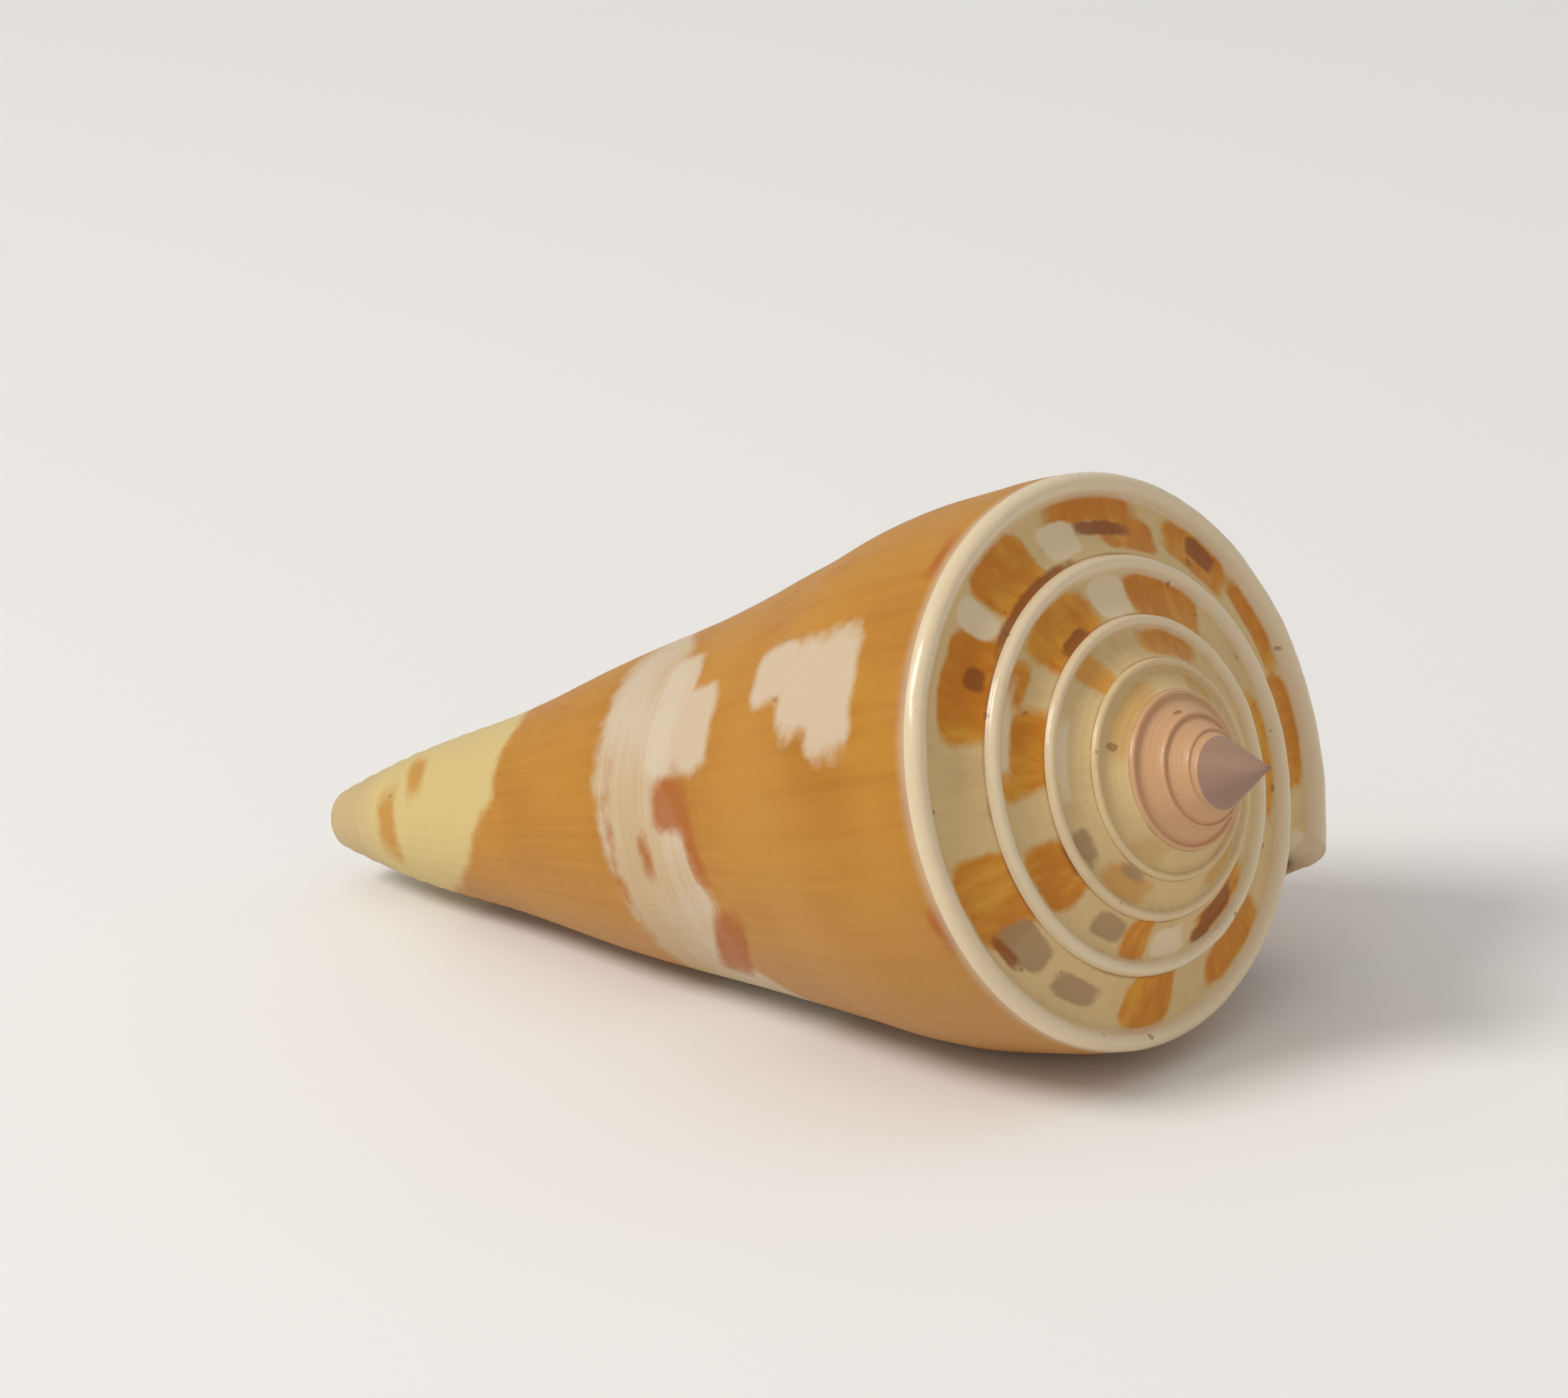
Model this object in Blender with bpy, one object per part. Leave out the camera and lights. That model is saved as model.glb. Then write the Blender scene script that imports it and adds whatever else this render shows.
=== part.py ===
"""A cone shell, 60 mm long: one right-handed spiral of a low stepped spire and a tall tapering
body whorl, with a slit mouth along its whole side. It lies mouth down, as it settles on a table.
The shell is lofted in its own upright frame, axis along Z with the spire up, then laid down.
Metres, +Z up, origin under the middle of the lying shell."""

import math

import bmesh
import bpy
from mathutils import Matrix, Vector

mm = 0.001

# growth of the coil, counted in turns: 0 at the lip, negative towards the apex
shoulderRadius = 16.0 * mm      # axis to keel, at the lip
whorlRatio = 1.378              # each turn is this much wider than the one before
turnCount = 8                   # turns that are modelled, apex to lip
spireSlope = 0.343              # rise of the spire for each unit of radius lost, outer whorls
apexRise = 0.300                # extra rise of the pointed tip, in shoulder radii
apexPower = 6.0                 # how late that extra rise comes in

# body whorl
bodyLength = 50.0 * mm          # keel at the lip down to the front end
bodyProfile = [                 # share of the way down, radius in shoulder radii
    (0.00, 1.000), (0.03, 1.012), (0.08, 1.000), (0.16, 0.967), (0.28, 0.850), (0.42, 0.707),
    (0.58, 0.564), (0.74, 0.391), (0.88, 0.264), (0.96, 0.170), (1.00, 0.115),
]
frontGrowth = 0.8               # the coil opens this much faster at the front end
frontLean = (3.2 * mm, -2.0 * mm)   # the front end stands off the axis by this

# shoulder ramp and its keel, in keel radii
keelWidth = 0.070
keelHeight = 0.035
sutureDrop = 0.055              # the next whorl is joined this far under the keel
rampSag = 0.020

# mouth
lipWall = 0.75 * mm             # wall at the lip's edge
shoulderWall = 1.40 * mm        # wall deeper inside, near the shoulder
frontWall = 0.50 * mm           # wall at the front end
mouthDepthTop = 0.95            # turns that the hollow runs back, at the shoulder
mouthDepthFront = 0.30          # and at the front end
lipReach = 0.030                # turns that the lip's edge stands ahead of its shoulder notch
notchDepth = 0.012              # turns that the notch cuts back into the ramp

# mesh
stepsPerTurn = 36
mouthSteps = 15
bodySteps = 13

# pose: mouth down, resting on the lip, the whorl beside it and the front end
lipAngle = 198.5                # where the lip's keel stands around the axis, degrees
downAngle = 258.1               # the side that faces the floor, degrees
axisTilt = 15.0                 # the spire's end of the axis stands this much higher, degrees

growth = math.log(whorlRatio)


def mix(a, b, share):
    return a + (b - a) * share


def smooth(share):
    share = min(1.0, max(0.0, share))
    return share * share * (3 - 2 * share)


def readTable(table, x):
    """Smooth curve through the table's points, level-headed between them."""
    last = len(table) - 1
    k = 0
    while k < last - 1 and x > table[k + 1][0]:
        k += 1
    (x0, y0), (x1, y1) = table[k], table[k + 1]
    step = (y1 - y0) / (x1 - x0)

    def slopeAt(i):
        if i in (0, last):
            return step
        before = (table[i][1] - table[i - 1][1]) / (table[i][0] - table[i - 1][0])
        after = (table[i + 1][1] - table[i][1]) / (table[i + 1][0] - table[i][0])
        return 0.0 if before * after <= 0 else 2 * before * after / (before + after)

    f = (x - x0) / (x1 - x0)
    width = x1 - x0
    return (y0 * (1 + 2 * f) * (1 - f) ** 2 + y1 * f * f * (3 - 2 * f)
            + width * f * (1 - f) * (slopeAt(k) * (1 - f) - slopeAt(k + 1) * f))


def keelPoint(turn):
    """Radius and height of the keel's crest."""
    radius = shoulderRadius * math.exp(growth * turn)
    lost = max(0.0, 1 - radius / shoulderRadius)
    return radius, shoulderRadius * (spireSlope * lost + apexRise * lost ** apexPower)


def underKeel(turn):
    """Radius and height where the next whorl is joined on."""
    radius, height = keelPoint(turn)
    return radius * 1.012, height - sutureDrop * radius


def bodyPoint(turn, down):
    """Radius and height on the body whorl, down being 0 at the keel and 1 at the front end."""
    height = keelPoint(turn)[1]
    faster = growth * (1 + frontGrowth * down)
    radius = shoulderRadius * readTable(bodyProfile, down)
    radius *= math.exp(faster * (turn + 0.5)) * math.exp(-0.5 * growth)
    return radius, mix(height, -bodyLength, down)


def rampPoints(turn):
    """The shoulder ramp from the suture out to the keel and over it. The keel grows in over the
    first turn, which starts plain."""
    innerRadius, innerHeight = underKeel(turn - 1)
    radius, height = keelPoint(turn)
    width = keelWidth * radius
    rise = keelHeight * radius
    points = [(innerRadius, innerHeight)]
    for share in (0.12, 0.30, 0.50, 0.70, 0.86, 1.0):
        sag = rampSag * radius * 4 * share * (1 - share)
        points.append((mix(innerRadius, radius - width, share), mix(innerHeight, height - rise, share) - sag))
    points.append((radius - 0.45 * width, height))
    points.append((radius + 0.05 * width, height - 0.3 * rise))
    points.append(underKeel(turn))
    grown = smooth(turn + turnCount)
    for k in range(1, len(points) - 1):
        share = k / (len(points) - 1)
        plain = (mix(innerRadius, points[-1][0], share), mix(innerHeight, points[-1][1], share))
        points[k] = (mix(plain[0], points[k][0], grown), mix(plain[1], points[k][1], grown))
    return points


rampCount = len(rampPoints(-1.0))
bodyShares = [0.04 + 0.96 * (k / (bodySteps - 1)) ** 1.15 for k in range(bodySteps - 1)] + [1.0]
columnCount = rampCount + bodySteps


def shareOf(column):
    """How far down the body a column of the section lies, 0 all over the ramp."""
    return 0.0 if column < rampCount else bodyShares[column - rampCount]


def outerSection(turn, whole):
    points = rampPoints(turn)
    if whole:
        points += [bodyPoint(turn, down) for down in bodyShares]
    return points


def wallAt(column, turn):
    inside = mix(shoulderWall, frontWall, shareOf(column) ** 0.8)
    edge = mix(lipWall, frontWall, shareOf(column))
    return mix(edge, inside, smooth(-turn / 0.25))


def innerSection(turn):
    """The hollow's outer side: a low vault under the ramp, then the wall's inner face."""
    points = []
    startRadius, startHeight = bodyPoint(turn - 1, bodyShares[0])
    cornerRadius, cornerHeight = bodyPoint(turn, bodyShares[0])
    cornerRadius -= wallAt(rampCount, turn)
    for column in range(rampCount):
        share = column / rampCount
        vault = 0.07 * (cornerRadius - startRadius) * math.sin(math.pi * share)
        points.append((mix(startRadius, cornerRadius, share), mix(startHeight, cornerHeight, share) + vault))
    for column in range(rampCount, columnCount):
        radius, height = bodyPoint(turn, shareOf(column))
        points.append((radius - wallAt(column, turn), height))
    return points


def lipShift(column, turn):
    """Turns that a point near the mouth is moved ahead, for the lip's bowed edge and its notch."""
    near = smooth((turn + 0.14) / 0.14)
    if column < rampCount:
        return -notchDepth * math.sin(math.pi * column / (rampCount - 1)) * near
    down = shareOf(column)
    return lipReach * smooth(down / 0.20) * (1 - smooth((down - 0.55) / 0.45)) * near


def place(radius, height, turn):
    """A point of the section at this turn, in the upright frame."""
    around = math.radians(lipAngle) + 2 * math.pi * turn
    down = max(0.0, -height / bodyLength)
    x = radius * math.cos(around) + frontLean[0] * mix(0.13, 1.0, down) * down
    y = -radius * math.sin(around) + frontLean[1] * mix(-0.8, 1.0, down) * down
    return Vector((x, y, height))


class Loft:
    """Collects the vertices and faces of the closed skin."""

    def __init__(self):
        self.mesh = bmesh.new()

    def point(self, radius, height, turn):
        return self.mesh.verts.new(place(radius, height, turn))

    def strip(self, one, other):
        for k in range(len(one) - 1):
            self.mesh.faces.new((one[k], one[k + 1], other[k + 1], other[k]))


def loftOutside(loft):
    """Rows of the section from the apex to the lip. A row starts on the row one turn before it,
    and in the first turn on the apex itself."""
    tip = loft.mesh.verts.new((0, 0, shoulderRadius * (spireSlope + apexRise)))
    rows = []
    lastStep = turnCount * stepsPerTurn
    for step in range(lastStep + 1):
        turn = step / stepsPerTurn - turnCount
        whole = step >= lastStep - stepsPerTurn
        row = [tip if step < stepsPerTurn else rows[step - stepsPerTurn][rampCount - 1]]
        for column in range(1, columnCount if whole else rampCount):
            ahead = turn + (lipShift(column, turn) if whole else 0.0)
            radius, height = outerSection(ahead, whole)[column]
            row.append(loft.point(radius, height, ahead))
        rows.append(row)
    for step in range(lastStep):
        one, other = rows[step], rows[step + 1]
        count = min(len(one), len(other))
        first = 1 if step < stepsPerTurn else 0
        loft.strip(one[first:count], other[first:count])
    return rows


def closeApex(loft, rows):
    """A small cone over the first turn, and the step where the second turn starts beside it."""
    tip = rows[0][0]
    for step in range(stepsPerTurn - 1):
        loft.mesh.faces.new((tip, rows[step][1], rows[step + 1][1]))
    corner = rows[stepsPerTurn - 1][1]
    seam = rows[0] + [rows[stepsPerTurn][1]]
    for one, other in zip(seam, seam[1:]):
        loft.mesh.faces.new((corner, one, other))


def cutMouth(loft, rows):
    """The hollow: its outer side under the wall, its inner side on the whorl before, its end."""
    start = rows[(turnCount - 1) * stepsPerTurn]
    lip = rows[-1]

    def depth(column):
        return mix(mouthDepthTop, mouthDepthFront, shareOf(column))

    inside = {}
    for column in range(rampCount, columnCount):
        line = [start[column]]
        for step in range(1, mouthSteps + 1):
            turn = -1 - depth(column) * step / mouthSteps
            radius, height = bodyPoint(turn, shareOf(column))
            line.append(loft.point(radius, height, turn))
        inside[column] = line

    under = []
    for column in range(columnCount):
        if column == 0:
            under.append(inside[rampCount])
            continue
        line = []
        for step in range(mouthSteps + 1):
            turn = -depth(max(column, rampCount)) * step / mouthSteps
            turn += lipShift(column, turn)
            radius, height = innerSection(turn)[column]
            line.append(loft.point(radius, height, turn))
        under.append(line)

    for one, other in zip(under, under[1:]):
        loft.strip(one, other)
    for column in range(rampCount, columnCount - 1):
        loft.strip(inside[column + 1], inside[column])
    loft.strip(lip, [line[0] for line in under])
    loft.mesh.faces.new([line[-1] for line in under[:rampCount + 1]])
    loft.strip([line[-1] for line in under[rampCount:]],
               [inside[column][-1] for column in range(rampCount, columnCount)])
    rim = [row[-1] for row in rows[(turnCount - 1) * stepsPerTurn:]]
    loft.mesh.faces.new(rim + under[-1] + inside[columnCount - 1][:0:-1])


def layDown(mesh):
    """Turn the upright shell onto its mouth and set it on the floor, centred on the origin."""
    down = math.radians(-downAngle)
    pose = Matrix.Rotation(math.radians(90 - axisTilt), 4, "Y") @ Matrix.Rotation(-down, 4, "Z")
    bmesh.ops.transform(mesh, matrix=pose, verts=mesh.verts)
    low = [min(v.co[k] for v in mesh.verts) for k in range(3)]
    high = [max(v.co[k] for v in mesh.verts) for k in range(3)]
    shift = Vector((-(low[0] + high[0]) / 2, -(low[1] + high[1]) / 2, -low[2]))
    bmesh.ops.translate(mesh, vec=shift, verts=mesh.verts)


def shellMaterial():
    material = bpy.data.materials.new("ochreShell")
    material.use_nodes = True
    shader = material.node_tree.nodes["Principled BSDF"]
    shader.inputs["Base Color"].default_value = (0.52, 0.25, 0.055, 1)
    shader.inputs["Roughness"].default_value = 0.38
    shader.inputs["Metallic"].default_value = 0.0
    return material


def makeShell(collection):
    loft = Loft()
    rows = loftOutside(loft)
    closeApex(loft, rows)
    cutMouth(loft, rows)
    bmesh.ops.triangulate(loft.mesh, faces=[f for f in loft.mesh.faces if len(f.verts) > 4])
    bmesh.ops.recalc_face_normals(loft.mesh, faces=loft.mesh.faces)
    layDown(loft.mesh)
    mesh = bpy.data.meshes.new("shell")
    loft.mesh.to_mesh(mesh)
    loft.mesh.free()
    mesh.shade_smooth()
    mesh.set_sharp_from_angle(angle=math.radians(40))
    shell = bpy.data.objects.new("shell", mesh)
    shell.data.materials.append(shellMaterial())
    collection.objects.link(shell)
    return shell


def main():
    for old in list(bpy.data.objects):
        bpy.data.objects.remove(old, do_unlink=True)
    collection = bpy.data.collections.new("coneShell")
    bpy.context.scene.collection.children.link(collection)
    makeShell(collection)


main()
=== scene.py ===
import math

import bmesh
import bpy
import numpy as np
from mathutils import Matrix, Vector


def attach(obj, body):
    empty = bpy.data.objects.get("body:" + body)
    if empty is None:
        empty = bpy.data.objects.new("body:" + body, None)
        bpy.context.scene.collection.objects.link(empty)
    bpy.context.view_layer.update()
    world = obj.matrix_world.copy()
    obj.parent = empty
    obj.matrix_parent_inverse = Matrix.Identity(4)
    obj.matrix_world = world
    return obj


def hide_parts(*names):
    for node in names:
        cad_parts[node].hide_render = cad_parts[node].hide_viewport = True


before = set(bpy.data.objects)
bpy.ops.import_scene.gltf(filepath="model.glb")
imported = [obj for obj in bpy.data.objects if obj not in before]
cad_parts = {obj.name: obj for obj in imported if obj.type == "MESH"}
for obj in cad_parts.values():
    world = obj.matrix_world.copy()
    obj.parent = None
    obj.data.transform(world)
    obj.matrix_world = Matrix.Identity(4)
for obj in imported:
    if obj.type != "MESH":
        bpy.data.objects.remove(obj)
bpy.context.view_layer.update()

mm = 0.001

# how the shell grows, turn by turn: 0 is the lip, negative towards the apex
shellForm = {
    "Shoulder Radius": 16.0 * mm,
    "Whorl Ratio": 1.378,
    "Turns": 8,
    "Spire Slope": 0.343,
    "Apex Rise": 0.300,
    "Apex Power": 6.0,
    "Body Length": 49.7 * mm,
    "Front Growth": 0.8,
    "Front Lean X": 3.2 * mm,
    "Front Lean Y": -2.0 * mm,
    "Front Dome": 0.45 * mm,
    "Keel Width": 0.070,
    "Keel Height": 0.035,
    "Suture Drop": 0.055,
    "Ramp Sag": 0.020,
    "Lip Wall": 0.75 * mm,
    "Shoulder Wall": 1.40 * mm,
    "Front Wall": 0.50 * mm,
    "Lip Reach": 0.030,
    "Notch Depth": 0.012,
    "Mouth Depth": 0.95,
    "Lip Angle": 198.5,
}

# how finely it is built
shellSteps = {
    "Steps per Turn": 256,
    "Ramp Columns": 24,
    "Body Rows": 120,
    "Mouth Rows": 14,
    "Edge Rows": 4,
}

bodyProfile = [  # share of the way down, radius in shoulder radii
    (0.00, 1.000), (0.03, 1.012), (0.08, 1.000), (0.16, 0.967), (0.28, 0.850), (0.42, 0.707),
    (0.58, 0.564), (0.74, 0.391), (0.88, 0.264), (0.96, 0.170), (1.00, 0.115),
]

# how the grown shell lies: mouth down, as it settles
shellPose = {"downAngle": 258.1, "axisTilt": 15.0}


class Field:
    # a value on its way through a node tree, so that a formula reads as one
    def __init__(self, tree, socket):
        self.tree = tree
        self.socket = socket
        self.name = (socket.node.name, socket.identifier)

    def __add__(self, other):
        return calc(self.tree, "ADD", self, other)

    def __radd__(self, other):
        return calc(self.tree, "ADD", other, self)

    def __sub__(self, other):
        return calc(self.tree, "SUBTRACT", self, other)

    def __rsub__(self, other):
        return calc(self.tree, "SUBTRACT", other, self)

    def __mul__(self, other):
        return calc(self.tree, "MULTIPLY", self, other)

    def __rmul__(self, other):
        return calc(self.tree, "MULTIPLY", other, self)

    def __truediv__(self, other):
        return calc(self.tree, "DIVIDE", self, other)

    def __pow__(self, other):
        return calc(self.tree, "POWER", self, other)

    def atLeast(self, other):
        return calc(self.tree, "MAXIMUM", self, other)

    def atMost(self, other):
        return calc(self.tree, "MINIMUM", self, other)

    def below(self, other):
        return calc(self.tree, "LESS_THAN", self, other)

    def do(self, operation):
        return calc(self.tree, operation, self)


def feed(tree, value, socket):
    if isinstance(value, Field):
        tree.links.new(value.socket, socket)
    else:
        socket.default_value = value


alreadyMade = {}


def once(tree, kind, values, make):
    # the same sum of the same values is made only once in a tree
    key = (tree.as_pointer(), kind) + tuple(v.name if isinstance(v, Field) else v for v in values)
    if key not in alreadyMade:
        alreadyMade[key] = make()
    return alreadyMade[key]


def calc(tree, operation, *values):
    def make():
        node = tree.nodes.new("ShaderNodeMath")
        node.operation = operation
        for value, socket in zip(values, node.inputs):
            feed(tree, value, socket)
        return Field(tree, node.outputs[0])
    return once(tree, operation, values, make)


def mix(a, b, share):
    tree = next(v.tree for v in (a, b, share) if isinstance(v, Field))

    def make():
        node = tree.nodes.new("ShaderNodeMix")
        node.clamp_factor = False
        for value, name in ((share, "Factor"), (a, "A"), (b, "B")):
            feed(tree, value, node.inputs[name])
        return Field(tree, node.outputs[0])
    return once(tree, "mix", (a, b, share), make)


def ease(x, start=0.0, end=1.0, low=0.0, high=1.0):
    # runs smoothly from low to high while x goes from start to end
    def make():
        node = x.tree.nodes.new("ShaderNodeMapRange")
        node.interpolation_type = "SMOOTHSTEP"
        for value, socket in zip((x, start, end, low, high), node.inputs):
            feed(x.tree, value, socket)
        return Field(x.tree, node.outputs[0])
    return once(x.tree, "ease", (x, start, end, low, high), make)


def readCurve(x, points):
    node = x.tree.nodes.new("ShaderNodeFloatCurve")
    node.mapping.use_clip = False
    curve = node.mapping.curves[0]
    for k, (px, py) in enumerate(points):
        if k < 2:
            point = curve.points[k]
            point.location = (px, py)
        else:
            point = curve.points.new(px, py)
        point.handle_type = "AUTO_CLAMPED"
    node.mapping.update()
    feed(x.tree, x, node.inputs["Value"])
    return Field(x.tree, node.outputs[0])


def vector(tree, x, y, z):
    node = tree.nodes.new("ShaderNodeCombineXYZ")
    for value, socket in zip((x, y, z), node.inputs):
        feed(tree, value, socket)
    return Field(tree, node.outputs[0])


def noise(tree, place, scale, detail=2.0, roughness=0.5):
    # soft noise from -1 to 1
    node = tree.nodes.new("ShaderNodeTexNoise")
    feed(tree, place, node.inputs["Vector"])
    for value, name in ((scale, "Scale"), (detail, "Detail"), (roughness, "Roughness")):
        feed(tree, value, node.inputs[name])
    return Field(tree, node.outputs[0]) * 2.0 - 1.0


class Growth:
    # the shell's surface as fields of turn and of the way across or down

    def __init__(self, tree, size):
        self.tree = tree
        self.size = size
        self.rate = calc(tree, "LOGARITHM", size["Whorl Ratio"], math.e)
        self.start = 1.0 - size["Turns"]

    def keel(self, turn):
        whole = self.size["Shoulder Radius"]
        radius = whole * (self.rate * turn.atLeast(self.start)).do("EXPONENT")
        lost = (1.0 - radius / whole).atLeast(0.0)
        height = whole * (self.size["Spire Slope"] * lost
                          + self.size["Apex Rise"] * lost ** self.size["Apex Power"])
        return radius, height

    def underKeel(self, turn):
        radius, height = self.keel(turn)
        return radius * 1.012, height - self.size["Suture Drop"] * radius

    def cone(self, turn, across):
        # the first turn, from the apex out to the line where the coil starts on it
        radius, height = self.underKeel(turn)
        tip = self.size["Shoulder Radius"] * (self.size["Spire Slope"] + self.size["Apex Rise"])
        return radius * across, mix(tip, height, across)

    def ramp(self, turn, across):
        # the shoulder ramp takes the first six tenths of the columns, its keel the rest
        onRamp = (across / 0.6).atMost(1.0)
        onKeel = ((across - 0.6) / 0.4).atLeast(0.0)
        inRadius, inHeight = self.underKeel(turn - 1.0)
        radius, height = self.keel(turn)
        outRadius, outHeight = self.underKeel(turn)
        width = self.size["Keel Width"] / 0.070
        rise = self.size["Keel Height"] / 0.035
        footRadius = radius * (1.0 - self.size["Keel Width"])
        footHeight = height - radius * self.size["Keel Height"]
        sag = self.size["Ramp Sag"] * radius * 4.0 * onRamp * (1.0 - onRamp)
        keelOut = readCurve(onKeel, [(0.0, -0.070), (0.15, -0.060), (0.35, -0.040), (0.55, -0.017),
                                     (0.75, 0.003), (0.9, 0.011), (1.0, 0.012)])
        keelUp = readCurve(onKeel, [(0.0, -0.035), (0.15, -0.020), (0.35, -0.003), (0.5, 0.0),
                                    (0.65, -0.006), (0.85, -0.030), (1.0, -0.055)])
        onKeelNow = (0.6 - across).below(0.0)
        fullRadius = mix(mix(inRadius, footRadius, onRamp), radius * (1.0 + keelOut * width), onKeelNow)
        fullHeight = mix(mix(inHeight, footHeight, onRamp) - sag, height + radius * keelUp * rise, onKeelNow)
        plainRadius = mix(inRadius, outRadius, across)  # before the keel has grown in
        plainHeight = mix(inHeight, outHeight, across)
        grown = ease(turn, self.start, self.start + 1.0)
        return mix(plainRadius, fullRadius, grown), mix(plainHeight, fullHeight, grown)

    def down(self, turn, share):
        # share of the body's length, from the line under the keel
        radius, height = self.keel(turn)
        first = self.size["Suture Drop"] * radius / (height + self.size["Body Length"])
        return mix(first, 1.0, share)

    def body(self, turn, share):
        down = self.down(turn, share)
        height = mix(self.keel(turn)[1], self.size["Body Length"] * -1.0, down)
        faster = self.rate * (1.0 + self.size["Front Growth"] * down)
        radius = self.size["Shoulder Radius"] * readCurve(down, bodyProfile)
        radius = radius * (faster * (turn + 0.5) - 0.5 * self.rate).do("EXPONENT")
        joined = ease(share, 0.0, 0.05)
        return mix(self.underKeel(turn)[0], radius, joined), height

    def wall(self, turn, share):
        inside = mix(self.size["Shoulder Wall"], self.size["Front Wall"], share ** 0.8)
        edge = mix(self.size["Lip Wall"], self.size["Front Wall"], share)
        return mix(edge, inside, ease(turn * -1.0, 0.0, 0.25))

    def depth(self, share):
        # how far the hollow runs back, in turns, at this way down
        return mix(self.size["Mouth Depth"], 70 / 256, share)

    def mouthShare(self, column):
        # the way down at a column of the mouth, the same all over the vault under the ramp
        vaultColumns = self.size["Ramp Columns"] + 3.0
        return ((column - vaultColumns) / (self.size["Body Rows"] - 3.0)).atLeast(0.0) * 0.975 + 0.025

    def under(self, turn, column):
        # the wall's inner face, or the low vault under the ramp, by column of the mouth
        share = self.mouthShare(column)
        onVault = (column / (self.size["Ramp Columns"] + 3.0)).atMost(1.0)
        ahead = turn + self.bow(turn, share) * onVault
        radius, height = self.body(ahead, share)
        radius = radius - self.wall(ahead, share)
        startRadius, startHeight = self.body(turn - 1.0, share)
        lift = 0.07 * (radius - startRadius) * (onVault * math.pi).do("SINE")
        return mix(startRadius, radius, onVault), mix(startHeight, height, onVault) + lift, ahead

    def bow(self, turn, share):
        # turns that the lip stands ahead of its shoulder notch, fading out behind it
        near = ease(turn, -0.14, 0.0)
        out = ease(share, 0.0, 0.20) * (1.0 - ease(share, 0.55, 1.0))
        return self.size["Lip Reach"] * out * near

    def notch(self, turn, across):
        near = ease(turn, -0.14, 0.0)
        return -1.0 * self.size["Notch Depth"] * (across * math.pi).do("SINE") * near

    def place(self, radius, height, turn):
        # the point in the upright frame, its front end leaning off the axis
        around = (self.size["Lip Angle"] / 360.0 + turn) * (2 * math.pi)
        down = (height / self.size["Body Length"] * -1.0).atLeast(0.0)
        x = radius * around.do("COSINE") + self.size["Front Lean X"] * mix(0.13, 1.0, down) * down
        y = radius * around.do("SINE") * -1.0 + self.size["Front Lean Y"] * mix(-0.8, 1.0, down) * down
        return vector(self.tree, x, y, height)


def startSheet(tree, columns, rows):
    # a flat grid whose two shares, along and across, become the surface
    grid = tree.nodes.new("GeometryNodeMeshGrid")
    feed(tree, (columns + 1.0).do("ROUND"), grid.inputs["Vertices X"])
    feed(tree, (rows + 1.0).do("ROUND"), grid.inputs["Vertices Y"])
    position = tree.nodes.new("GeometryNodeInputPosition")
    split = tree.nodes.new("ShaderNodeSeparateXYZ")
    tree.links.new(position.outputs[0], split.inputs[0])
    along = Field(tree, split.outputs["X"]) + 0.5
    across = Field(tree, split.outputs["Y"]) + 0.5
    return grid.outputs["Mesh"], along, across


def store(tree, geometry, name, kind, value):
    node = tree.nodes.new("GeometryNodeStoreNamedAttribute")
    node.data_type = kind
    node.domain = "CORNER"
    node.inputs["Name"].default_value = name
    tree.links.new(geometry, node.inputs["Geometry"])
    feed(tree, value, node.inputs["Value"])
    return node.outputs["Geometry"]


def keep(tree, geometry, name, value):
    # a number at each point, for use once the sheet has its shape
    node = tree.nodes.new("GeometryNodeStoreNamedAttribute")
    node.data_type = "FLOAT"
    node.domain = "POINT"
    node.inputs["Name"].default_value = name
    tree.links.new(geometry, node.inputs["Geometry"])
    feed(tree, value, node.inputs["Value"])
    return node.outputs["Geometry"]


def recall(tree, name):
    node = tree.nodes.new("GeometryNodeInputNamedAttribute")
    node.data_type = "FLOAT"
    node.inputs["Name"].default_value = name
    return Field(tree, node.outputs["Attribute"])


def recallZone(tree):
    node = tree.nodes.new("GeometryNodeInputNamedAttribute")
    node.data_type = "FLOAT_VECTOR"
    node.inputs["Name"].default_value = "growth"
    split = tree.nodes.new("ShaderNodeSeparateXYZ")
    tree.links.new(node.outputs["Attribute"], split.inputs[0])
    return Field(tree, split.outputs["Z"])


def raiseAlongNormal(tree, geometry, height):
    normal = tree.nodes.new("GeometryNodeInputNormal")
    scale = tree.nodes.new("ShaderNodeVectorMath")
    scale.operation = "SCALE"
    tree.links.new(normal.outputs["Normal"], scale.inputs[0])
    feed(tree, height, scale.inputs["Scale"])
    return setPosition(tree, geometry, offset=Field(tree, scale.outputs[0]))


def setPosition(tree, geometry, position=None, offset=None):
    node = tree.nodes.new("GeometryNodeSetPosition")
    tree.links.new(geometry, node.inputs["Geometry"])
    if position:
        feed(tree, position, node.inputs["Position"])
    if offset:
        feed(tree, offset, node.inputs["Offset"])
    return node.outputs["Geometry"]


def snap(value, step):
    # to the nearest whole number of steps, which merging turns into a coarser mesh
    return (value / step).do("ROUND") * step


# fine relief that stands in the mesh
reliefSizes = {
    "Swell": 0.10 * mm,
    "Growth Lines": 0.035 * mm,
    "Spiral Threads": 0.012 * mm,
    "Front Grooves": 0.035 * mm,
    "Ramp Lines": 0.045 * mm,
    "Ramp Cords": 0.035 * mm,
    "Keel Swell": 0.16 * mm,
}


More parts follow.
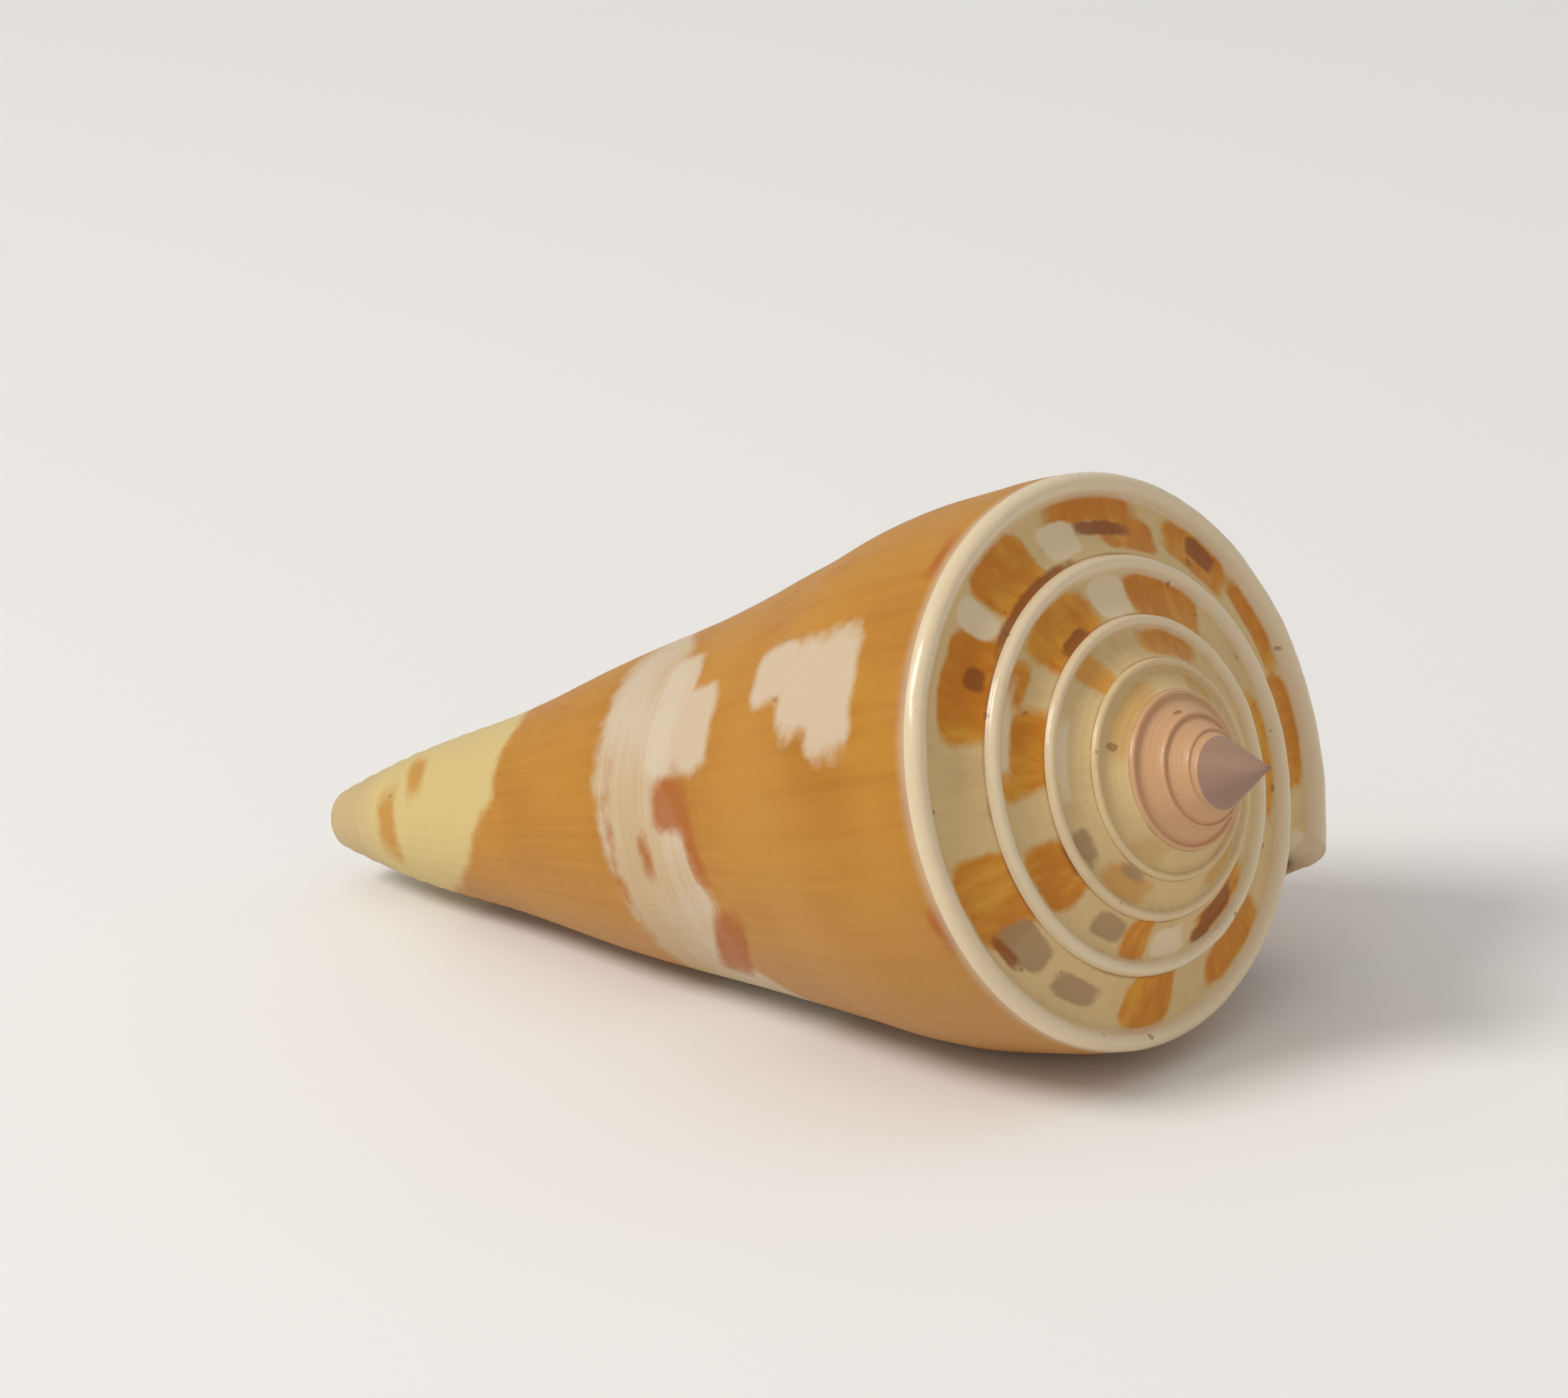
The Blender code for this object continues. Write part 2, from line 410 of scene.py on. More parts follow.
def bodyRelief(tree, size, turn, share):
    swell = noise(tree, vector(tree, turn * 5.0, share * 3.5, 1.0), 1.0, 2.0)
    lines = noise(tree, vector(tree, turn * 110.0, share * 2.2, 3.0), 1.0, 3.0, 0.65)
    threads = noise(tree, vector(tree, turn * 3.0, share * 85.0, 5.0), 1.0, 1.0)
    grooves = (share * (2 * math.pi * 44)).do("SINE") * ease(share, 0.62, 0.92)
    height = (swell * size["Swell"] + lines * size["Growth Lines"] + threads * size["Spiral Threads"]
              + grooves * size["Front Grooves"])
    edge = ease(share, 0.0, 0.03) * (1.0 - ease(share, 0.975, 1.0))
    ends = ease(turn, -1.0, -0.98) * (1.0 - ease(turn, -0.02, 0.0))
    return height * edge * ends


def rampRelief(tree, size, turn, across, radius):
    # everything here shrinks with the whorl
    small = radius / size["Shoulder Radius"]
    bent = turn + 0.03 * (across / 0.6 * math.pi).do("SINE")
    lines = noise(tree, vector(tree, bent * 120.0, across * 1.6, 7.0), 1.0, 3.0, 0.65)
    cords = (across * (2 * math.pi * 7.5)).do("SINE") * (1.0 - ease(across, 0.5, 0.6))
    onKeel = ease(across, 0.6, 0.75) * (1.0 - ease(across, 0.9, 1.0))
    swell = noise(tree, vector(tree, turn * 22.0, 0.0, 9.0), 1.0, 2.0) * onKeel
    height = (lines * size["Ramp Lines"] + cords * size["Ramp Cords"] * ease(turn * -1.0, 0.8, 1.6)
              + swell * size["Keel Swell"]) * small ** 0.8
    edge = ease(across, 0.0, 0.06) * (1.0 - ease(across, 0.92, 1.0))
    first = 1.0 - size["Turns"]
    return height * edge * (1.0 - ease(turn, -0.02, 0.0)) * ease(turn, first + 0.02, first + 0.5)


def growTree():
    tree = bpy.data.node_groups.new("shellGrowth", "GeometryNodeTree")
    tree.interface.new_socket(name="Geometry", in_out="OUTPUT", socket_type="NodeSocketGeometry")
    for name in shellForm:
        tree.interface.new_socket(name=name, in_out="INPUT", socket_type="NodeSocketFloat")
    for name in shellSteps:
        tree.interface.new_socket(name=name, in_out="INPUT", socket_type="NodeSocketInt")
    for name in reliefSizes:
        tree.interface.new_socket(name=name, in_out="INPUT", socket_type="NodeSocketFloat")
    for name in ("Spire Material", "Body Material", "Lining Material"):
        tree.interface.new_socket(name=name, in_out="INPUT", socket_type="NodeSocketMaterial")
    given = tree.nodes.new("NodeGroupInput")
    result = tree.nodes.new("NodeGroupOutput")
    size = {name: Field(tree, given.outputs[name]) for name in [*shellForm, *shellSteps, *reliefSizes]}
    grow = Growth(tree, size)
    steps, rampColumns, bodyRows = size["Steps per Turn"], size["Ramp Columns"], size["Body Rows"]
    mouthRows, edgeRows = size["Mouth Rows"], size["Edge Rows"]
    sheets = []

    def finishSheet(mesh, turn, across, zone, position, relief=None):
        mesh = store(tree, mesh, "growth", "FLOAT_VECTOR", vector(tree, turn, across, zone))
        if relief:
            mesh = keep(tree, mesh, "relief", relief)
        mesh = setPosition(tree, mesh, position=position)
        if relief:
            mesh = raiseAlongNormal(tree, mesh, recall(tree, "relief"))
        sheets.append(mesh)

    # the apex, one plain turn
    mesh, along, across = startSheet(tree, steps, rampColumns / 2.0)
    turn = along - size["Turns"]
    radius, height = grow.cone(turn, across)
    finishSheet(mesh, turn, across, 0.0, grow.place(radius, height, turn))

    # spire: ramps and keels of the turns that coil round it
    mesh, along, across = startSheet(tree, (size["Turns"] - 1.0) * steps, rampColumns)
    turn = (along - 1.0) * (size["Turns"] - 1.0)
    radius, height = grow.ramp(turn, across)
    stored = (across / 0.6).atMost(1.0) * 0.85 + ((across - 0.6) / 0.4).atLeast(0.0) * 0.15
    finishSheet(mesh, turn, stored, 0.0, grow.place(radius, height, turn + grow.notch(turn, across)),
                rampRelief(tree, size, turn, across, radius))

    # body whorl
    mesh, along, share = startSheet(tree, steps, bodyRows)
    turn = along - 1.0
    firstRow = along.below(0.5 / 256)
    share = mix(share, snap(share, 3 / 120), firstRow)
    ahead = turn + grow.bow(turn, share)
    radius, height = grow.body(ahead, share)
    finishSheet(mesh, turn, grow.down(turn, share), 1.0, grow.place(radius, height, ahead),
                bodyRelief(tree, size, turn, share))

    # the mouth's inner side, on the whorl before
    mesh, along, across = startSheet(tree, mouthRows, (bodyRows - 3.0) / 3.0)
    share = mix(3 / 120, 1.0, across)
    turn = -1.0 - grow.depth(share) * along
    radius, height = grow.body(turn, share)
    finishSheet(mesh, turn, share, 2.0, grow.place(radius, height, turn))

    # the mouth's outer side, under the vault and the wall
    columns = rampColumns + bodyRows
    mesh, along, across = startSheet(tree, mouthRows, columns / 3.0)
    column = across * columns
    share = grow.mouthShare(column)
    turn = grow.depth(share) * along * -1.0
    radius, height, ahead = grow.under(turn, column)
    finishSheet(mesh, turn, share, 3.0, grow.place(radius, height, ahead))

    # the hollow's far end
    mesh, along, across = startSheet(tree, edgeRows * 0.0 + 1.0, columns / 3.0)
    column = across * columns
    share = grow.mouthShare(column)
    turn = grow.depth(share) * -1.0
    radius, height, ahead = grow.under(turn, column)
    farRadius, farHeight = grow.body(turn - 1.0, share)
    spot = grow.place(mix(radius, farRadius, along), mix(height, farHeight, along), mix(ahead, turn, along))
    finishSheet(mesh, turn, share, 3.0, spot)

    # the lip's rounded edge, from the outer skin to the wall's inner face
    mesh, along, across = startSheet(tree, edgeRows, columns)
    column = across * columns
    along = along.atLeast(column.below(0.5) * (0.01 - along).below(0.0))
    onRamp = (column / rampColumns).atMost(1.0)
    share = ((column - rampColumns) / bodyRows).atLeast(0.0)
    rampRadius, rampHeight = grow.ramp(along * 0.0, onRamp)
    bodyAhead = grow.bow(along * 0.0, share)
    bodyRadius, bodyHeight = grow.body(bodyAhead, share)
    onBody = (rampColumns - column).below(0.5)
    outRadius, outHeight = mix(rampRadius, bodyRadius, onBody), mix(rampHeight, bodyHeight, onBody)
    outTurn = mix(grow.notch(along * 0.0, onRamp), bodyAhead, onBody)
    coarse = snap(column, 3.0)
    inRadius, inHeight, inTurn = grow.under(along * 0.0, coarse)
    round_ = (along * math.pi).do("SINE") * ease(column, 0.0, 6.0) * (1.0 - ease(share, 0.9, 1.0))
    swell = 0.45 * size["Lip Wall"] / (2 * math.pi * outRadius) * round_
    spot = grow.place(mix(outRadius, inRadius, along), mix(outHeight, inHeight, along),
                      mix(outTurn, inTurn, along) + swell)
    finishSheet(mesh, along * 0.0, column / columns, 4.0, spot)

    # the wall's edge at the front end
    mesh, along, across = startSheet(tree, steps * (70 / 256), edgeRows)
    turn = along * -(70 / 256)
    coarse = snap(turn, 5 / 256)
    radius, height = grow.body(turn, turn * 0.0 + 1.0)
    inRadius, inHeight = grow.body(coarse, turn * 0.0 + 1.0)
    inRadius = inRadius - size["Front Wall"]
    curl = (across * math.pi).do("SINE") * 0.2 * mm * ease(turn * -1.0, 0.0, 0.05)
    spot = grow.place(mix(radius, inRadius, across), mix(height, inHeight, across) - curl,
                      mix(turn, coarse, across))
    finishSheet(mesh, turn, across * 0.0 + 1.0, 4.0, spot)

    # the front end itself, a low dome over one turn
    mesh, along, across = startSheet(tree, steps, edgeRows * 2.0)
    turn = mix(-1.0 - 70 / 256, -70 / 256, along)
    turn = mix(turn, snap(turn + 1.0, 5 / 256) - 1.0, (turn + 1.0 + 0.5 / 256).below(0.0))
    radius, height = grow.body(turn, turn * 0.0 + 1.0)
    dome = size["Front Dome"] * (1.0 - across * across)
    spot = grow.place(radius * across, height - dome, turn)
    finishSheet(mesh, turn, across * 0.0 + 1.0, 4.0, spot)

    # and the small step in it where the turn meets itself
    mesh, along, across = startSheet(tree, edgeRows + 1.0, edgeRows * 2.0)
    step = along * (edgeRows + 1.0)
    onWall = (step / edgeRows).atMost(1.0)
    beyond = (step - edgeRows).atLeast(0.0)
    turn = along * 0.0 - 70 / 256
    radius, height = grow.body(turn, turn * 0.0 + 1.0)
    farRadius, farHeight = grow.body(turn - 1.0, turn * 0.0 + 1.0)
    inRadius = radius - size["Front Wall"]
    curl = (onWall * math.pi).do("SINE") * 0.2 * mm * ease(across, 0.95, 1.0)
    radius = mix(mix(radius, inRadius, onWall), farRadius, beyond)
    dome = size["Front Dome"] * (1.0 - across * across)
    spot = grow.place(radius * across, height - dome - curl, turn)
    finishSheet(mesh, turn, across * 0.0 + 1.0, 4.0, spot)

    join = tree.nodes.new("GeometryNodeJoinGeometry")
    for mesh in sheets:
        tree.links.new(mesh, join.inputs[0])
    merge = tree.nodes.new("GeometryNodeMergeByDistance")
    merge.inputs["Distance"].default_value = 0.002 * mm
    realize = tree.nodes.new("GeometryNodeRealizeInstances")
    tree.links.new(join.outputs[0], merge.inputs["Geometry"])
    tree.links.new(merge.outputs["Geometry"], realize.inputs["Geometry"])
    # the zone says what each face wears: 0 spire, 1 body, the rest lining
    zone = recallZone(tree)
    wears = [("Spire Material", zone.below(0.5)), ("Body Material", (zone - 1.0).do("ABSOLUTE").below(0.5)),
             ("Lining Material", (1.5 - zone).below(0.0))]
    mesh = realize.outputs["Geometry"]
    for wear, where in wears:
        dress = tree.nodes.new("GeometryNodeSetMaterial")
        tree.links.new(mesh, dress.inputs["Geometry"])
        feed(tree, where, dress.inputs["Selection"])
        tree.links.new(given.outputs[wear], dress.inputs["Material"])
        mesh = dress.outputs["Geometry"]
    tree.links.new(mesh, result.inputs[0])
    return tree


def growShell(materials):
    tree = growTree()
    carrier = bpy.data.objects.new("shellCarrier", bpy.data.meshes.new("shellCarrier"))
    bpy.context.scene.collection.objects.link(carrier)
    modifier = carrier.modifiers.new("growth", "NODES")
    modifier.node_group = tree
    values = {**shellForm, **shellSteps, **reliefSizes, **materials}
    for socket in tree.interface.items_tree:
        if socket.in_out == "INPUT":
            modifier[socket.identifier] = values[socket.name]
    bpy.context.view_layer.update()
    ready = carrier.evaluated_get(bpy.context.evaluated_depsgraph_get())
    mesh = bpy.data.meshes.new_from_object(ready)
    carrier.modifiers.clear()
    bpy.data.objects.remove(carrier)
    mesh.name = "shell"
    shell = bpy.data.objects.new("coneShell", mesh)
    bpy.context.scene.collection.objects.link(shell)
    return shell


def faceOutwards(mesh):
    work = bmesh.new()
    work.from_mesh(mesh)
    bmesh.ops.dissolve_degenerate(work, dist=0.0005 * mm, edges=work.edges)
    bmesh.ops.recalc_face_normals(work, faces=work.faces)
    work.to_mesh(mesh)
    work.free()


def layDown(mesh):
    # the upright shell is turned onto its mouth, its apex on the apex of the CAD shell
    pose = (Matrix.Rotation(math.radians(90 - shellPose["axisTilt"]), 4, "Y")
            @ Matrix.Rotation(math.radians(shellPose["downAngle"]), 4, "Z"))
    back = pose.inverted()
    cadApex = max((v.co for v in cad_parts["shell"].data.vertices), key=lambda p: (back @ p).z)
    apexHeight = shellForm["Shoulder Radius"] * (shellForm["Spire Slope"] + shellForm["Apex Rise"])
    shift = cadApex - pose @ Vector((0, 0, apexHeight))
    mesh.transform(Matrix.Translation(shift) @ pose)


# markings, placed along the growth: from turn, to turn, from across, to across, slant
rampMarks = {
    "ochreMark": [(-0.945, -0.865, 0.08, 0.84, 0), (-0.825, -0.772, -0.1, 0.84, 0), (-0.655, -0.588, -0.1, 0.83, 0),
              (-0.512, -0.43, -0.1, 0.68, 0), (-0.412, -0.355, -0.1, 0.84, 0), (-0.33, -0.25, 0.5, 0.9, 0),
              (-0.29, -0.235, 0.1, 0.62, 0), (-0.225, -0.165, 0.25, 0.86, 0.04),
              (-0.165, -0.10, 0.5, 0.86, 0), (-0.10, -0.025, -0.1, 0.86, 0), (-1.945, -1.85, 0.2, 0.84, 0),
              (-1.778, -1.744, -0.1, 0.85, 0), (-1.668, -1.598, -0.1, 0.82, 0), (-1.555, -1.53, 0.5, 0.86, 0),
              (-1.55, -1.47, -0.1, 0.62, 0), (-1.475, -1.43, 0.45, 0.82, 0), (-1.425, -1.335, -0.1, 0.86, 0),
              (-1.285, -1.19, -0.1, 0.86, 0), (-1.11, -1.01, -0.1, 0.8, 0), (-2.745, -2.665, 0.1, 0.85, 0),
              (-2.415, -2.375, -0.1, 0.9, 0), (-2.295, -2.2, 0.1, 0.85, 0), (-2.95, -2.86, 0.2, 0.8, 0),
              (-3.73, -3.66, 0.1, 0.8, 0), (-3.24, -3.17, 0.0, 0.8, 0), (-3.5, -3.33, 0.0, 0.6, 0)],
    "rust": [(-0.44, -0.33, -0.1, 0.10, 0), (-0.31, -0.26, 0.3, 0.5, 0), (-0.472, -0.456, 0.08, 0.35, 0),
             (-0.205, -0.178, 0.5, 0.82, 0.04), (-0.672, -0.645, 0.55, 0.72, 0), (-1.92, -1.86, 0.25, 0.8, 0),
             (-1.872, -1.842, 0.5, 0.86, 0), (-1.645, -1.6, -0.1, 0.06, 0), (-1.40, -1.36, -0.1, 0.2, 0)],
    "white": [(-0.436, -0.414, 0.15, 0.75, 0), (-0.345, -0.31, 0.1, 0.6, 0), (-1.525, -1.46, 0.65, 0.86, 0),
              (-1.33, -1.285, 0.0, 0.8, 0), (-1.83, -1.785, 0.2, 0.8, 0), (-2.56, -2.46, 0.5, 0.85, 0)],
    "stain": [(-0.745, -0.70, 0.22, 0.6, 0), (-0.688, -0.643, 0.08, 0.6, 0), (-2.65, -2.6, 0.4, 0.85, 0),
              (-2.72, -2.68, 0.0, 0.3, 0), (-1.74, -1.70, 0.1, 0.6, 0)],
}
bodyMarks = {
    "rust": [(-0.69, -0.615, 0.345, 0.395, -0.85), (-0.585, -0.515, 0.352, 0.375, 0.2),
             (-0.548, -0.508, 0.362, 0.418, 0), (-0.635, -0.607, 0.012, 0.030, 0), (-0.56, -0.542, 0.008, 0.022, 0),
             (-0.495, -0.475, 0.008, 0.022, 0), (-0.415, -0.39, 0.022, 0.038, 0), (-0.585, -0.555, 0.435, 0.45, 0),
             (-0.60, -0.53, 0.493, 0.50, 0), (-0.30, -0.245, 0.38, 0.44, 0.3), (-0.16, -0.11, 0.35, 0.40, -0.3),
             (-0.94, -0.88, 0.34, 0.39, 0.4)],
    "white": [(-0.507, -0.44, 0.32, 0.43, 0), (-0.45, -0.40, 0.375, 0.43, 0.3), (-0.515, -0.44, 0.09, 0.155, 0),
              (-0.50, -0.44, 0.14, 0.20, 0), (-0.475, -0.435, 0.185, 0.255, 0), (-0.25, -0.19, 0.08, 0.2, 0),
              (-0.93, -0.87, 0.1, 0.22, 0)],
    "stain": [(-0.62, -0.45, 0.876, 0.905, 0), (-0.47, -0.38, 0.838, 0.864, 0.15), (-0.2, -0.05, 0.86, 0.89, 0)],
}
# how far down the bands of the body lie, turn by turn
bandTop = [(-1, 0.38), (-0.9, 0.37), (-0.8, 0.345), (-0.74, 0.34), (-0.68, 0.36), (-0.60, 0.355), (-0.55, 0.37),
           (-0.51, 0.40), (-0.46, 0.39), (-0.42, 0.395), (-0.38, 0.43), (-0.34, 0.475), (-0.2, 0.45), (0, 0.40)]
bandFoot = [(-1, 0.52), (-0.73, 0.51), (-0.6, 0.50), (-0.5, 0.515), (-0.4, 0.525), (-0.3, 0.54), (0, 0.52)]
creamTop = [(-1, 0.86), (-0.72, 0.84), (-0.65, 0.80), (-0.60, 0.765), (-0.55, 0.735), (-0.5, 0.705),
            (-0.40, 0.70), (-0.2, 0.76), (0, 0.80)]
oneTurn = 88.0  # millimetres round the shoulder


def markEdge(turn, across, marks, along, high):
    # about how many millimetres inside a mark's edge, below 0 outside
    edge = np.full(len(turn), -9.0)
    for start, end, inner, outer, slant in marks:
        middle, centre = (start + end) / 2, (inner + outer) / 2
        u = abs(turn - middle) / ((end - start) / 2)
        v = abs(across - centre - slant * (turn - middle)) / ((outer - inner) / 2)
        inside = 1 - (u ** 4 + v ** 4) ** 0.25
        edge = np.maximum(edge, inside * np.minimum((end - start) / 2 * along, (outer - inner) / 2 * high))
    return np.clip(edge, -9, 9)


def follow(turn, line):
    return np.interp(turn, [t for t, height in line], [height for t, height in line])


def paintMarks(mesh):
    growth = np.empty(len(mesh.loops) * 3, np.float32)
    mesh.attributes["growth"].data.foreach_get("vector", growth)
    turn, across, zone = growth.reshape(-1, 3).T.astype(float)
    onBody = abs(zone - 1) < 0.5
    coil = shellForm["Whorl Ratio"] ** turn
    for name in ("ochreMark", "rust", "white", "stain"):
        edge = markEdge(turn, across, rampMarks[name], oneTurn * coil, 5.3 * coil)
        if name == "ochreMark":
            long = shellForm["Body Length"] / mm
            band = np.maximum(follow(turn, bandTop) - across, across - follow(turn, bandFoot))
            onBodyEdge = np.minimum(band, follow(turn, creamTop) - across) * long
        else:
            onBodyEdge = markEdge(turn, across, bodyMarks[name], oneTurn * (1 - 0.8 * across), 50.0)
        values = np.where(onBody, onBodyEdge, edge).astype(np.float32)
        mesh.attributes.new(name, "FLOAT", "CORNER").data.foreach_set("value", values)
    print("markings painted")


def startGroup(name, inputs, output):
    tree = bpy.data.node_groups.new(name, "ShaderNodeTree")
    for label, kind in inputs.items():
        tree.interface.new_socket(name=label, in_out="INPUT", socket_type="NodeSocket" + kind)
    tree.interface.new_socket(name=output, in_out="OUTPUT", socket_type="NodeSocketFloat")
    given, result = tree.nodes.new("NodeGroupInput"), tree.nodes.new("NodeGroupOutput")
    return tree, {label: Field(tree, given.outputs[label]) for label in inputs}, result.inputs[output]


def makeGroups():
    tree, given, out = startGroup("raggedEdge", {"Place": "Vector", "Edge": "Float", "Softness": "Float",
                                                 "Raggedness": "Float"}, "Mask")
    rough = noise(tree, given["Place"], 800.0, 3.0, 0.6) * given["Raggedness"]
    feed(tree, ease(given["Edge"] + rough, given["Softness"] * -1.0, given["Softness"]), out)
    tree, given, out = startGroup("growthStreaks", {"Turn": "Float", "Across": "Float", "Fineness": "Float",
                                                    "Length": "Float"}, "Streaks")
    place = vector(tree, given["Turn"] * given["Fineness"], given["Across"] * given["Length"], 2.0)
    feed(tree, noise(tree, place, 1.0, 3.0, 0.6), out)
    tree, given, out = startGroup("seaSpecks", {"Place": "Vector", "Fineness": "Float", "Rarity": "Float"},
                                  "Mask")
    spots = noise(tree, given["Place"], given["Fineness"], 1.0)
    feed(tree, ease(spots, given["Rarity"], given["Rarity"] + 0.08), out)


def use(tree, group, *values):
    node = tree.nodes.new("ShaderNodeGroup")
    node.node_tree = bpy.data.node_groups[group]
    for value, socket in zip(values, node.inputs):
        feed(tree, value, socket)
    return Field(tree, node.outputs[0])


def glaze(tree, under, colour, share):
    node = tree.nodes.new("ShaderNodeMix")
    node.data_type = "RGBA"
    feed(tree, share, node.inputs[0])
    for value, socket in ((under, node.inputs[6]), (colour, node.inputs[7])):
        feed(tree, value if isinstance(value, Field) else (*value, 1), socket)
    return Field(tree, node.outputs[2])


def readMark(tree, name, output="Fac"):
    node = tree.nodes.new("ShaderNodeAttribute")
    node.attribute_name = name
    return Field(tree, node.outputs[output])


def startMaterial(name):
    material = bpy.data.materials.new(name)
    material.use_nodes = True
    tree = material.node_tree
    split = tree.nodes.new("ShaderNodeSeparateXYZ")
    tree.links.new(readMark(tree, "growth", "Vector").socket, split.inputs[0])
    place = Field(tree, tree.nodes.new("ShaderNodeTexCoord").outputs["Object"])
    return material, tree, Field(tree, split.outputs["X"]), Field(tree, split.outputs["Y"]), place


def finishMaterial(tree, colour, roughness, height, gloss, coat=None):
    shader = tree.nodes["Principled BSDF"]
    tree.links.new(colour.socket, shader.inputs["Base Color"])
    feed(tree, roughness, shader.inputs["Roughness"])
    shader.inputs["Specular IOR Level"].default_value = gloss
    if coat:
        feed(tree, coat, shader.inputs["Coat Weight"])
        shader.inputs["Coat Roughness"].default_value = 0.18
    bump = tree.nodes.new("ShaderNodeBump")
    bump.inputs["Distance"].default_value = 0.03 * mm
    feed(tree, height, bump.inputs["Height"])
    tree.links.new(bump.outputs[0], shader.inputs["Normal"])


spireTones = {
    "cream": (0.67, 0.48, 0.225), "tan": (0.50, 0.33, 0.13), "flame": (0.56, 0.185, 0.004),
    "gold": (0.70, 0.33, 0.03), "faded": (0.60, 0.36, 0.12), "rust": (0.27, 0.072, 0.004),
    "white": (0.76, 0.61, 0.40), "stain": (0.36, 0.22, 0.10), "suture": (0.28, 0.10, 0.012),
    "nucleus": (0.63, 0.355, 0.18), "tip": (0.34, 0.20, 0.14), "speck": (0.16, 0.06, 0.02),
}
# the duller ochre is partly the shell's own tone and partly painted reflection haze
bodyTones = {
    "ochre": (0.51, 0.225, 0.018), "deep": (0.41, 0.155, 0.006), "dullAndHaze": (0.50, 0.25, 0.065),
    "band": (0.54, 0.37, 0.18), "lilac": (0.63, 0.51, 0.37), "cream": (0.64, 0.49, 0.20),
    "tip": (0.57, 0.42, 0.20), "rust": (0.40, 0.105, 0.003), "streak": (0.52, 0.22, 0.012),
    "white": (0.65, 0.53, 0.38), "speck": (0.20, 0.08, 0.02),
}
liningTones = {"porcelain": (0.74, 0.60, 0.42), "flush": (0.66, 0.44, 0.22)}


def spireMaterial():
    material, tree, turn, across, place = startMaterial("spireEnamel")
    tones = spireTones
    streaks = use(tree, "growthStreaks", turn, across, 90.0, 1.6)
    cloud = noise(tree, place, 260.0, 2.0)
    fine = noise(tree, place, 1500.0, 2.0, 0.6)
    back = turn * -1.0
    colour = glaze(tree, tones["cream"], tones["tan"], (streaks * 0.5 + cloud * 0.7).atLeast(0.0))
    flame = glaze(tree, tones["flame"], tones["gold"], ease(streaks + cloud, -0.5, 0.9))
    flame = glaze(tree, flame, tones["faded"], ease(back, 1.9, 3.2))
    shown = use(tree, "raggedEdge", place, readMark(tree, "ochreMark"), 0.20, 0.30)
    colour = glaze(tree, colour, flame, shown * (1.0 - ease(back, 3.2, 4.6)))
    for name, share in (("stain", 0.85), ("rust", 0.9), ("white", 0.9)):
        mask = use(tree, "raggedEdge", place, readMark(tree, name), 0.14, 0.28)
        colour = glaze(tree, colour, tones[name], mask * share)
    wobble = across + noise(tree, vector(tree, turn * 30.0, 0.0, 4.0), 1.0) * 0.02
    keel = ease(wobble, 0.82, 0.88) * ease(back, 3.4, 1.8, 0.25, 1.0)
    colour = glaze(tree, colour, tones["white"], keel)
    seam = (1.0 - ease(wobble, 0.0, 0.05)) * ease(noise(tree, vector(tree, turn * 14.0, 0.0, 8.0), 1.0), -0.6, 0.4)
    colour = glaze(tree, colour, tones["suture"], seam * 0.8)
    colour = glaze(tree, colour, tones["nucleus"], ease(back, 3.7, 4.5))
    colour = glaze(tree, colour, tones["tip"], ease(back, 6.4, 7.6))
    specks = use(tree, "seaSpecks", place, 1100.0, 0.50)
    colour = glaze(tree, colour, tones["speck"], specks * 0.55)
    height = streaks * 0.5 + fine * 0.5 - specks
    finishMaterial(tree, colour, ease(fine, -1.0, 1.0, 0.28, 0.48), height, 0.35, keel * 0.6)
    return material


def bodyMaterial():
    material, tree, turn, down, place = startMaterial("bodyEnamel")
    tones = bodyTones
    streaks = use(tree, "growthStreaks", turn, down, 110.0, 3.0)
    threads = use(tree, "growthStreaks", down, turn, 120.0, 4.0)
    cloud = noise(tree, place, 130.0, 2.0)
    fine = noise(tree, place, 1500.0, 2.0, 0.6)
    ochre = glaze(tree, tones["ochre"], tones["deep"], ease(streaks * 0.6 + cloud, -0.3, 0.8))
    # further back from the lip the ochre goes duller: partly its own tone, partly painted reflection haze
    ochre = glaze(tree, ochre, tones["dullAndHaze"], ease(turn * -1.0, 0.52, 0.72) * 0.75)
    band = glaze(tree, tones["band"], tones["lilac"], ease(cloud + threads * 0.5, -0.4, 0.6))
    front = glaze(tree, tones["cream"], tones["tip"], ease(down + threads * 0.01, 0.90, 0.96))
    pale = glaze(tree, band, front, ease(down, 0.60, 0.66))
    shown = use(tree, "raggedEdge", place, readMark(tree, "ochreMark"), 0.55, 0.8)
    colour = glaze(tree, pale, ochre, shown)
    for name, tone, share in (("white", "white", 0.85), ("stain", "streak", 0.8), ("rust", "rust", 0.9)):
        mask = use(tree, "raggedEdge", place, readMark(tree, name), 0.35, 0.45)
        colour = glaze(tree, colour, tones[tone], mask * share)
    colour = glaze(tree, colour, tones["lilac"], (1.0 - ease(down + cloud * 0.004, 0.010, 0.03)) * 0.7)
    specks = use(tree, "seaSpecks", place, 900.0, 0.55)
    colour = glaze(tree, colour, tones["speck"], (specks + ease(streaks, 0.55, 0.9) * 0.3).atMost(1.0) * 0.5)
    height = streaks * 0.6 + threads * 0.3 + fine * 0.3
    finishMaterial(tree, colour, ease(fine, -1.0, 1.0, 0.36, 0.55), height, 0.3)
    return material


def liningMaterial():
    material, tree, turn, across, place = startMaterial("mouthPorcelain")
    cloud = noise(tree, place, 180.0, 2.0)
    colour = glaze(tree, liningTones["porcelain"], liningTones["flush"], ease(cloud, -0.4, 0.8))
    finishMaterial(tree, colour, ease(cloud, -1.0, 1.0, 0.22, 0.36), noise(tree, place, 700.0, 2.0), 0.4)
    return material


